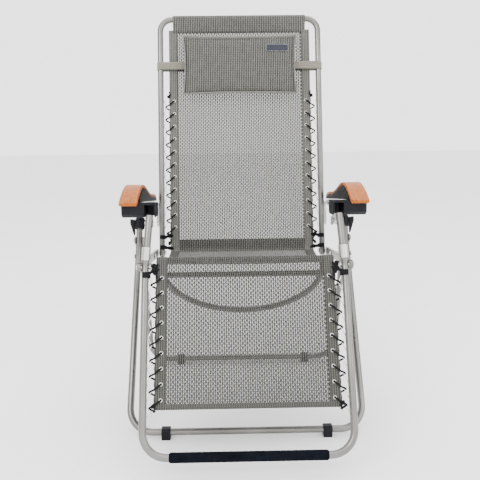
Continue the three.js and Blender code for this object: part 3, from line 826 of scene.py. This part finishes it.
def normal_towards(place, x, s):
    """The normal on the side that the sitter sees."""
    n = normal_of(place, x, s)
    return n if n.y < 0 or (abs(n.y) < 0.3 and n.z > 0) else -n


def side_line(place, x, start, end):
    return (lambda s: place(x, s) + normal_towards(place, x, s) * SKIN,
            lambda s: normal_towards(place, x, s), start, end)


def cross_line(place, front, s, end):
    return lambda x: place(x, s), lambda x: front, -end, end


stitch_x = [side * x for side in (-1, 1) for x in (HEM_INNER + 3 * MM, HEM_INNER + 25.5 * MM)]
back_stitch = stitches(
    "back_stitching",
    [side_line(back_place, x, 25 * MM, BACK_SEAM - 4 * MM) for x in stitch_x]
    + [cross_line(lambda x, s: on_back(x, s, 2.4 * MM), BACK_FRONT, s, SLEEVE_HALF - 2 * MM)
       for s in (BACK_SEAM + 1 * MM, BACK_SEAM - 6 * MM)], "back")
leg_stitch = stitches(
    "leg_stitching",
    [side_line(leg_place, x, 18 * MM, LEG_END - 2 * MM) for x in stitch_x]
    + [cross_line(lambda x, s: leg_place(x, s) + LEG_FRONT * 3.1 * MM, LEG_FRONT,
                  LEG_END - 10 * MM, SLING_HALF - 4 * MM)], "leg_rest")


# -------------------- eyelets and lacing
def eyelets(name, place, row, body):
    verts, faces = [], []
    first, pitch, count = row
    for side in (-1, 1):
        for i in range(count):
            centre = place(side * LACE_X, first + i * pitch)
            axis = normal_towards(place, side * LACE_X, first + i * pitch)
            for face in (-1, 1):
                ring(centre + axis * (face * 2.2 * MM), axis, 3.9 * MM, 1.1 * MM, 10, 0.8,
                     verts, faces)
            ring(centre, axis, 3.1 * MM, 0.45 * MM, 8, 5.0, verts, faces)
    return piece(name, verts, faces, BRIGHT, body)


back_eyelets = eyelets("back_eyelets", back_place, BACK_EYELETS, "back")
leg_eyelets = eyelets("leg_eyelets", leg_place, LEG_EYELETS, "leg_rest")

WIRE_OUT = FRAME_X - TUBE_R - 1.5 * MM
WIRE_IN = 241 * MM
WIRE_R = 1.3 * MM
WIRE_BEND = 1.2 * MM         # how far the wire's bends stand out past their neighbours
CORD_R = 2.5 * MM
WRAP_R = TUBE_R + CORD_R
WRAP_PITCH = 4.0 * MM


def knot(centre, size, turn, verts, faces):
    """An overhand knot, drawn as a tight trefoil."""
    spin = Matrix.Rotation(turn, 3, "X") @ Matrix.Rotation(turn * 1.7, 3, "Y")
    line = []
    for k in range(48):
        t = 2 * math.pi * k / 48
        place = Vector((math.sin(t) + 2 * math.sin(2 * t), math.cos(t) - 2 * math.cos(2 * t),
                        -1.3 * math.sin(3 * t)))
        line.append(centre + spin @ (place * (size / 3)))
    swept(line, CORD_R * 0.95, 8, closed=True, verts=verts, faces=faces)


def mirrored(place, side):
    """The place function for one side of the chair."""
    return lambda x, s, n=0.0: place(side * x, s, n)


def lacing(label, place, row, body, towards, ends):
    """The zigzag wires, the cord between them and the eyelets, and a knot at each of the ends."""
    first, pitch, count = row
    wire_verts, wire_faces, cord_verts, cord_faces = [], [], [], []
    for side in (-1, 1):
        at = mirrored(place, side)
        wire, cord = [], []
        for i in range(count):
            s = first + i * pitch
            turn_s = s + towards * pitch / 2
            wire += [at(WIRE_OUT - WIRE_BEND, s - 4 * MM), at(WIRE_OUT, s),
                     at(WIRE_OUT - WIRE_BEND, s + 4 * MM)]
            if i < count - 1:
                wire += [at(WIRE_IN + WIRE_BEND, s + pitch / 2 - 3 * MM),
                         at(WIRE_IN, s + pitch / 2),
                         at(WIRE_IN + WIRE_BEND, s + pitch / 2 + 3 * MM)]
            cord.append([
                at(LACE_X - 1 * MM, s, -4.2 * MM),
                at(LACE_X, s),
                at(LACE_X + 1.5 * MM, s + towards * 1.5 * MM, 4.4 * MM),
                at(LACE_X + 9 * MM, s + towards * pitch * 0.17, 5.2 * MM),
                at(WIRE_IN - 8 * MM, s + towards * pitch * 0.34, 5.0 * MM),
                at(WIRE_IN - 0.5 * MM, turn_s - towards * 3 * MM, 3.6 * MM),
                at(WIRE_IN + 3.2 * MM, turn_s),
                at(WIRE_IN - 1 * MM, turn_s + towards * 3 * MM, -3.8 * MM),
                at(WIRE_IN - 12 * MM, turn_s + towards * pitch * 0.22, -4.6 * MM)])
        if towards < 0:
            cord = cord[::-1]
        through = [p for loop in cord for p in loop]
        swept(smooth_line(through, 5), CORD_R, 10, verts=cord_verts, faces=cord_faces)
        swept(smooth_line(wire, 4), WIRE_R, 8, verts=wire_verts, faces=wire_faces)
        for k, (x, s, size) in enumerate(ends):
            knot(at(x, s, 3.5 * MM), size, 0.8 + k * 1.3 + side, cord_verts, cord_faces)
            tail = [at(x, s, 4 * MM), at(x - 5 * MM, s + 7 * MM, 7 * MM),
                    at(x - 3 * MM, s + 15 * MM, 5.5 * MM)]
            swept(smooth_line(tail, 5), CORD_R * 0.9, 8, verts=cord_verts, faces=cord_faces)
    wires = piece(label + "_lacing_wire", wire_verts, wire_faces, BRIGHT, body)
    cords = piece(label + "_lacing_cord", cord_verts, cord_faces, CORD, body)
    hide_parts(f"{label}_wire_left", f"{label}_wire_right")
    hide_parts(f"{label}_cord_left", f"{label}_cord_right")


lacing("back", on_back, BACK_EYELETS, "back", -1,
       ((234 * MM, 51 * MM, 4.6 * MM), (236 * MM, 30 * MM, 5.0 * MM),
        (235 * MM, 511 * MM, 4.2 * MM)))
lacing("leg", on_leg, LEG_EYELETS, "leg_rest", 1,
       ((234 * MM, 17 * MM, 5.0 * MM), (237 * MM, 4 * MM, 5.0 * MM),
        (235 * MM, 349 * MM, 4.6 * MM)))


# The cloth at the crease and at the knee is taken off its body and kept where it is; the bodies
# and span listed with it are not read.
for cloths, bodies, start, end in (
        ((seat_rear, seat_rear_hem), ("back_pivot", "seat"),
         on_seat(0, 15 * MM), on_seat(0, 110 * MM)),
        ((seat_front, seat_front_hem), ("seat", "knee_pivot"),
         on_seat(0, RAIL_LENGTH - 110 * MM), on_seat(0, RAIL_LENGTH - 15 * MM)),
        ((leg_panel, leg_hem), ("knee_pivot", "leg_rest"),
         on_seat(0, RAIL_LENGTH - 12 * MM), on_leg(0, 20 * MM)),
        ((back_panel, back_hem, crease_layer_and_shade), ("back_pivot", "back"),
         on_seat(0, 12 * MM), on_back(0, 24 * MM))):
    for cloth in cloths:
        cloth.parent = None
        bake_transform(cloth)


# Cord wound round the tubes where the lacing starts and ends, drawn out to the hem.
def wraps(name, place, body, groups):
    """Groups are the first turn's distance, the number of turns, and where they meet the hem."""
    verts, faces = [], []
    turn = [math.radians(-115 + 10 * i) for i in range(24)]
    for side in (-1, 1):
        at = mirrored(place, side)
        for start, count, hem_x, hem_s in groups:
            for k in range(count):
                s = start + k * WRAP_PITCH
                swept([at(FRAME_X - WRAP_R * math.cos(a), s, WRAP_R * math.sin(a)) for a in turn],
                      CORD_R, 8, verts=verts, faces=faces)
                line = [at(FRAME_X - TUBE_R * 0.5, s, TUBE_R + CORD_R * 0.8),
                        at(FRAME_X - TUBE_R - 6 * MM, s * 0.7 + hem_s * 0.3,
                           8 * MM - k * 0.8 * MM),
                        at(hem_x + 9 * MM, s * 0.3 + hem_s * 0.7 + k * MM, 6.2 * MM),
                        at(hem_x + k * 1.5 * MM, hem_s + k * 2.0 * MM, 4.6 * MM)]
                swept(smooth_line(line, 5), CORD_R * 0.95, 8, verts=verts, faces=faces)
            knot(at(hem_x + 12 * MM, hem_s + 3 * MM, 7.5 * MM), 5.4 * MM,
                 1.1 * side + start * 30, verts, faces)
    piece(name, verts, faces, CORD, body)


wraps("back_cord_wraps", on_back, "back",
      ((13 * MM, 3, 222 * MM, 12 * MM), (46 * MM, 3, 224 * MM, 54 * MM)))
wraps("leg_cord_wraps", on_leg, "leg_rest",
      ((17 * MM, 2, 224 * MM, 6 * MM), (23 * MM, 2, 226 * MM, -6 * MM)))

# The wire's last turn is a loop beyond the foot end of the sling.
verts, faces = [], []
for side in (-1, 1):
    loop = [on_leg(side * (243 * MM + 5 * MM * math.cos(a)), 370 * MM + 8 * MM * math.sin(a))
            for a in (2 * math.pi * k / 20 for k in range(20))]
    swept(loop, WIRE_R, 8, closed=True, verts=verts, faces=faces)
    swept(smooth_line([on_leg(side * 241 * MM, 350 * MM), on_leg(side * 244 * MM, 357 * MM),
                       on_leg(side * 243 * MM, 362 * MM)], 4), WIRE_R, 8, verts=verts, faces=faces)
piece("leg_wire_end_loops", verts, faces, BRIGHT, "leg_rest")


# -------------------- head pillow
PILLOW_LOW, PILLOW_HIGH = 508 * MM, 701 * MM
PILLOW_HALF = 186 * MM
PILLOW_NEAR, PILLOW_FAR = 15 * MM, 62 * MM
PILLOW_MID = (PILLOW_NEAR + PILLOW_FAR) / 2
PILLOW_RISE = 15 * MM        # from the seam to the crown on either face, before it swells
PIPING_R = 2.4 * MM


def outline(half_w, half_h, corner, count=14):
    points = []
    for qx, qy, start in ((1, 1, 0), (-1, 1, 90), (-1, -1, 180), (1, -1, 270)):
        for k in range(count + 1):
            a = math.radians(start + 90 * k / count)
            points.append((qx * (half_w - corner) + corner * math.cos(a),
                           qy * (half_h - corner) + corner * math.sin(a)))
    return points


def pillow_point(u, v, n):
    return on_back(u, (PILLOW_LOW + PILLOW_HIGH) / 2 + v, PILLOW_MID + n)


def crown(u, v):
    """Height of a stuffed pillow at u, v in -1..1: full in the middle, drawn in to the seam."""
    return math.sqrt(max(0.0, 1 - u ** 4) * max(0.0, 1 - v ** 4))


half_w, half_h = PILLOW_HALF - 3 * MM, (PILLOW_HIGH - PILLOW_LOW) / 2 - 2 * MM
SIM_CAP = 9 * MM


def pinched(u, v):
    """Where u, v in -1..1 lies on the pillow, whose sides are drawn in between the corners."""
    return (half_w * u * (1 - 0.035 * (1 - v * v) * u ** 6),
            half_h * v * (1 - 0.05 * (1 - u * u) * v ** 6))


verts, faces = [], []
rows, cols = 36, 66
for face in (1, -1):
    cells = quads(rows, cols, len(verts))
    faces += cells if face > 0 else [quad[::-1] for quad in cells]
    for j in range(rows + 1):
        for i in range(cols + 1):
            u, v = 2 * i / cols - 1, 2 * j / rows - 1
            verts.append(pillow_point(*pinched(u, v), face * PILLOW_RISE * crown(u, v)))
pillow = piece("head_pillow", verts, faces, PILLOW_CLOTH, "headrest", smooth=180)
work = bmesh.new()
work.from_mesh(pillow.data)
bmesh.ops.remove_doubles(work, verts=work.verts, dist=0.05 * MM)
work.to_mesh(pillow.data)
work.free()


def apply(obj):
    evaluated = obj.evaluated_get(bpy.context.evaluated_depsgraph_get())
    mesh = bpy.data.meshes.new_from_object(evaluated)
    obj.modifiers.clear()
    obj.data = mesh


def cloth_pass(obj, pressure, cap, frames=20):
    """Swells the piece as cloth under a little air pressure, and limits how far a point moves."""
    rest = [v.co.copy() for v in obj.data.vertices]
    cloth = obj.modifiers.new("cloth", "CLOTH")
    settings = cloth.settings
    settings.use_pressure = True
    settings.uniform_pressure_force = pressure
    settings.quality = 6
    settings.mass = 0.25
    settings.tension_stiffness = 12
    settings.compression_stiffness = 6
    settings.bending_stiffness = 0.3
    settings.shrink_min = -0.035
    settings.effector_weights.gravity = 0
    cloth.point_cache.frame_end = frames
    for step in range(1, frames + 1):
        bpy.context.scene.frame_set(step)
    apply(obj)
    bpy.context.scene.frame_set(1)
    for vertex, start in zip(obj.data.vertices, rest):
        move = vertex.co - start
        if move.length > cap:
            vertex.co = start + move * (cap / move.length)


cloth_pass(pillow, 4.0, SIM_CAP)
pillow.modifiers.new("round", "SUBSURF").levels = 1
pillow.modifiers["round"].render_levels = 1
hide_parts("headrest_pillow")

# Piping round the pillow's seam.
seam = []
for i in range(200):
    side, t = divmod(i / 50, 1)
    corner = ((2 * t - 1, -1), (1, 2 * t - 1), (1 - 2 * t, 1), (-1, 1 - 2 * t))[int(side)]
    seam.append(pillow_point(*pinched(*corner), 0))
verts, faces = swept(seam, PIPING_R, 10, closed=True)
piece("pillow_piping", verts, faces, PIPING_CLOTH, "headrest")

# A plain woven label with a stitched edge, laid on the pillow's front.
surface = BVHTree.FromObject(pillow, bpy.context.evaluated_depsgraph_get())


LABEL_AT = (122 * MM, 53 * MM)
LABEL_HALF = (37 * MM, 13 * MM)


def on_label(u, v, lift):
    """A place on the pillow's front, u and v from the label's middle."""
    ray_from = pillow_point(LABEL_AT[0] + u, LABEL_AT[1] + v, 80 * MM)
    return surface.ray_cast(ray_from, -BACK_FRONT)[0] + BACK_FRONT * lift


verts, faces = grid(lambda u, v: on_label(u, v, 0.7 * MM),
                    steps(-LABEL_HALF[1], LABEL_HALF[1], 8), lambda v: LABEL_HALF[0], 20)
thick(piece("pillow_label", verts, faces, LABEL, "headrest"), 0.7 * MM)
edge = outline(LABEL_HALF[0] - 2 * MM, LABEL_HALF[1] - 2 * MM, 1 * MM)
verts, faces = [], []
for (u0, v0), (u1, v1) in zip(edge, edge[1:] + edge[:1]):
    count = max(1, int(math.hypot(u1 - u0, v1 - v0) / (3 * MM)))
    for k in range(count):
        swept([on_label(u0 + (u1 - u0) * t, v0 + (v1 - v0) * t, 1.2 * MM)
               for t in ((k + 0.15) / count, (k + 0.8) / count)],
              0.35 * MM, 6, verts=verts, faces=faces)
piece("pillow_label_stitching", verts, faces, BRIGHT_THREAD, "headrest")

# Elastic band round the back frame.
STRAP_LOW, STRAP_HIGH = 599 * MM, 624 * MM
STRAP_R = TUBE_R + 1.6 * MM
loop = outline(FRAME_X + STRAP_R, STRAP_R, STRAP_R - 0.3 * MM, 10)
verts, faces = [], []
for j, s in enumerate(steps(STRAP_LOW, STRAP_HIGH, 8)):
    verts += [on_back(u, s + 0.6 * MM * math.sin(u * 40), n) for u, n in loop]
    if j:
        base = (j - 1) * len(loop)
        for k in range(len(loop)):
            m = (k + 1) % len(loop)
            faces.append((base + k, base + m, base + len(loop) + m, base + len(loop) + k))
strap = thick(piece("pillow_elastic_band", verts, faces, WEBBING, "headrest"),
              1.4 * MM)
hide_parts("headrest_strap")


# -------------------- foot bar cover
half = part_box("foot_bar_sleeve")[1][0]
line, radii = [], []
for i in range(121):
    x = -half + 2 * half * i / 120
    end = min(1.0, (half - abs(x)) / (3 * MM))
    line.append(FOOT_BAR + X * x)
    radii.append(TUBE_R + 0.5 * MM + 2.6 * MM * math.sqrt(end) + 0.10 * MM * math.sin(x * 400))
verts, faces = swept(line, radii, 32)
cover = piece("foot_bar_foam", verts, faces, FOAM, "leg_rest")
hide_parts("foot_bar_sleeve")


# -------------------- stage, light and camera
def stage_material(name, color):
    f = Finish(name, color, 0.9)
    f.ramp(f.noise(2, 2), ((0.3, tuple(c * 0.985 for c in color)), (0.7, color)))
    return f.material


mesh = bpy.data.meshes.new("floor")
mesh.from_pydata([(-12, -12, 0), (12, -12, 0), (12, 12, 0), (-12, 12, 0)], [], [(0, 1, 2, 3)])
floor = bpy.data.objects.new("floor", mesh)
bpy.context.collection.objects.link(floor)
mesh.materials.append(stage_material("floor_paint", (0.93, 0.93, 0.93)))

# The sky is darker to the sides, so that the tubes show dark edges as they do in a studio.
SKY_STRENGTH = 2.8
world = bpy.data.worlds.new("studio")
bpy.context.scene.world = world
world.use_nodes = True
sky = world.node_tree.nodes
links = world.node_tree.links
toward = sky.new("ShaderNodeTexCoord")
parts = sky.new("ShaderNodeSeparateXYZ")
sideways = sky.new("ShaderNodeMath")
sideways.operation = "ABSOLUTE"
shade = sky.new("ShaderNodeValToRGB")
shade.color_ramp.interpolation = "EASE"
for element, place, grey in zip(shade.color_ramp.elements, (0.5, 0.9), (1, 0.5)):
    element.position, element.color = place, (grey, grey, grey, 1)
links.new(toward.outputs["Generated"], parts.inputs[0])
links.new(parts.outputs["X"], sideways.inputs[0])
links.new(sideways.outputs[0], shade.inputs["Fac"])
links.new(shade.outputs["Color"], sky["Background"].inputs["Color"])
sky["Background"].inputs["Strength"].default_value = SKY_STRENGTH


def softbox(name, place, target, size, watts):
    light = bpy.data.lights.new(name, "AREA")
    light.shape = "RECTANGLE"
    light.size, light.size_y = size
    light.energy = watts
    obj = bpy.data.objects.new(name, light)
    obj.location = place
    obj.rotation_euler = (Vector(target) - Vector(place)).to_track_quat("-Z", "Y").to_euler()
    bpy.context.collection.objects.link(obj)


CENTRE = (0, 0, 0.55)
softbox("key", (-1.9, -2.6, 2.9), CENTRE, (2.0, 2.0), 95)
softbox("fill", (2.8, -1.7, 1.7), CENTRE, (2.2, 2.2), 45)
softbox("top", (0.2, 0.6, 3.4), CENTRE, (2.6, 2.6), 60)

CAMERA_AT = Vector((-36.6, -1710.6, 867.7)) * MM
YAW, PITCH, ROLL = (math.radians(a) for a in (0.88, 11.84, -0.64))
camera_data = bpy.data.cameras.new("camera")
camera_data.sensor_width = 36
camera_data.lens = 45.14
camera = bpy.data.objects.new("camera", camera_data)
bpy.context.collection.objects.link(camera)
forward = Vector((math.sin(YAW) * math.cos(PITCH), math.cos(YAW) * math.cos(PITCH),
                  -math.sin(PITCH)))
right = Vector((math.cos(YAW), -math.sin(YAW), 0))
above = right.cross(forward)
across_view = right * math.cos(ROLL) + above * math.sin(ROLL)
up_view = above * math.cos(ROLL) - right * math.sin(ROLL)
camera.matrix_world = Matrix.Translation(CAMERA_AT) @ Matrix(
    (across_view, up_view, -forward)).transposed().to_4x4()
bpy.context.scene.camera = camera
